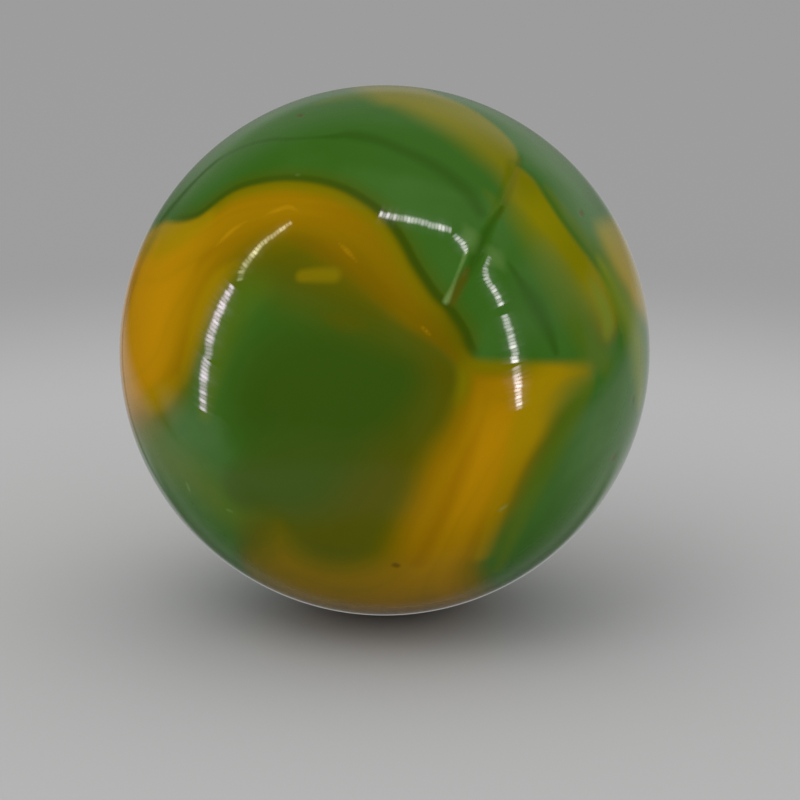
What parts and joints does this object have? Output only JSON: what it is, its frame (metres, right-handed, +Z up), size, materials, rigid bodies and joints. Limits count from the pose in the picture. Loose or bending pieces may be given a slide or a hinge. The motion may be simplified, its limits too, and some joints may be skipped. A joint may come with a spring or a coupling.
{
  "type": "glass marble",
  "caption": "Solid ball of green and yellow swirled glass with a shallow fold crease, for play, display or as a loose weight or roller.",
  "frame": {"origin": "centre of the ball", "axes": "+Z up as the ball sits in a ring stand, -Y towards the side that shows the fold crease, +X to the right of that side"},
  "size_m": [0.016, 0.016, 0.016],
  "materials": {
    "swirl_glass": "polished, opaque green glass with yellow ribbons"
  },
  "bodies": {
    "root": {"marble": "swirl_glass"}
  },
  "joints": []
}
